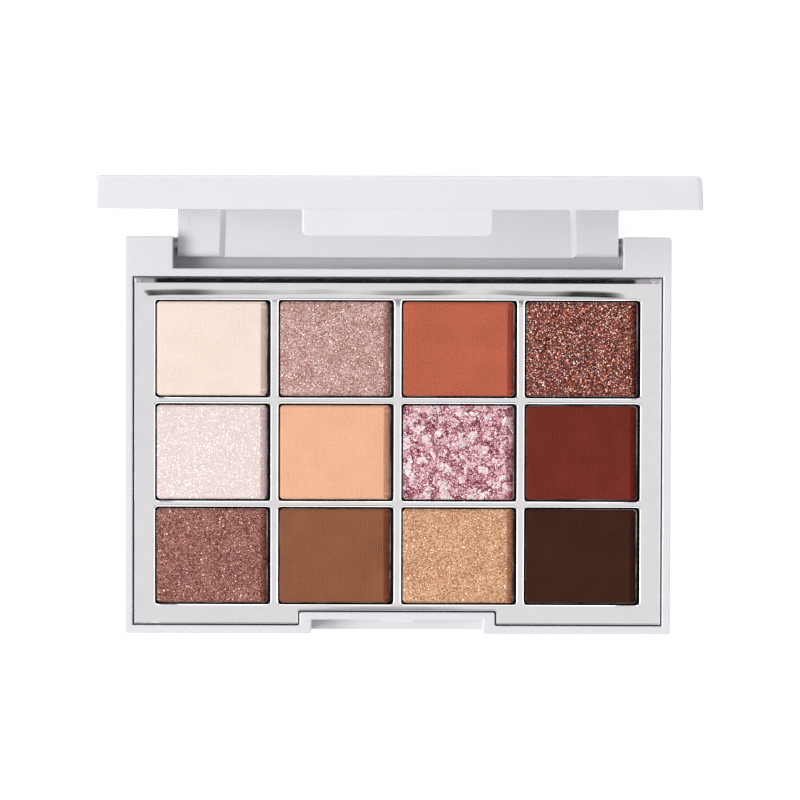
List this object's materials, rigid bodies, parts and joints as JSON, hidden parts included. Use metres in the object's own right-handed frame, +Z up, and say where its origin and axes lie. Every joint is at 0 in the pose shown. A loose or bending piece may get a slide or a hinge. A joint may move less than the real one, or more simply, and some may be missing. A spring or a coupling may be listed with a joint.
{
  "type": "eyeshadow palette",
  "caption": "Flat hinged make-up palette: white base with a chromed tray of pressed powder pans, and a lid with a mirror on two rear pins.",
  "frame": {"origin": "centre of the base's flat underside", "axes": "+X to the user's right along the hinge, -Y towards the user (front, with the thumb notch), +Z up"},
  "size_m": [0.11, 0.0921, 0.0814],
  "materials": {
    "shell_plastic": "polished white moulding",
    "tray_chrome": "polished, chrome plated ABS",
    "pan_aluminium": "bright pressed sheet",
    "glue": "cured glue",
    "pin_steel": "drawn wire",
    "mirror_glass": "silvered glass",
    "adhesive_sheet": "double-sided tape",
    "powder_r1c1": "pressed powder, cream matte",
    "powder_r1c2": "pressed powder, dusty rose shimmer",
    "powder_r1c3": "pressed powder, terracotta matte",
    "powder_r1c4": "pressed powder, copper brown glitter",
    "powder_r2c1": "pressed powder, pale pink shimmer",
    "powder_r2c2": "pressed powder, peach matte",
    "powder_r2c3": "pressed powder, pink foil flakes",
    "powder_r2c4": "pressed powder, maroon matte",
    "powder_r3c1": "pressed powder, mauve brown shimmer",
    "powder_r3c2": "pressed powder, mid brown matte",
    "powder_r3c3": "pressed powder, peach gold shimmer",
    "powder_r3c4": "pressed powder, dark brown matte"
  },
  "bodies": {
    "base": {"base_shell": "shell_plastic", "tray_insert": "tray_chrome", "pan_glue_dots": "glue", "hinge_pin_left": "pin_steel", "hinge_pin_right": "pin_steel", "pan_r1c1": "pan_aluminium", "pan_r1c2": "pan_aluminium", "pan_r1c3": "pan_aluminium", "pan_r1c4": "pan_aluminium", "pan_r2c1": "pan_aluminium", "pan_r2c2": "pan_aluminium", "pan_r2c3": "pan_aluminium", "pan_r2c4": "pan_aluminium", "pan_r3c1": "pan_aluminium", "pan_r3c2": "pan_aluminium", "pan_r3c3": "pan_aluminium", "pan_r3c4": "pan_aluminium", "powder_r1c1": "powder_r1c1", "powder_r1c2": "powder_r1c2", "powder_r1c3": "powder_r1c3", "powder_r1c4": "powder_r1c4", "powder_r2c1": "powder_r2c1", "powder_r2c2": "powder_r2c2", "powder_r2c3": "powder_r2c3", "powder_r2c4": "powder_r2c4", "powder_r3c1": "powder_r3c1", "powder_r3c2": "powder_r3c2", "powder_r3c3": "powder_r3c3", "powder_r3c4": "powder_r3c4"},
    "lid": {"lid_shell": "shell_plastic", "mirror": "mirror_glass", "mirror_adhesive": "adhesive_sheet"}
  },
  "joints": [
    {"name": "lid_hinge", "type": "hinge", "parent": "base", "child": "lid", "pos_m": [0, 0.038, 0.0032], "axis": [-1, 0, 0], "range_deg": [-88, 5.5]}
  ]
}
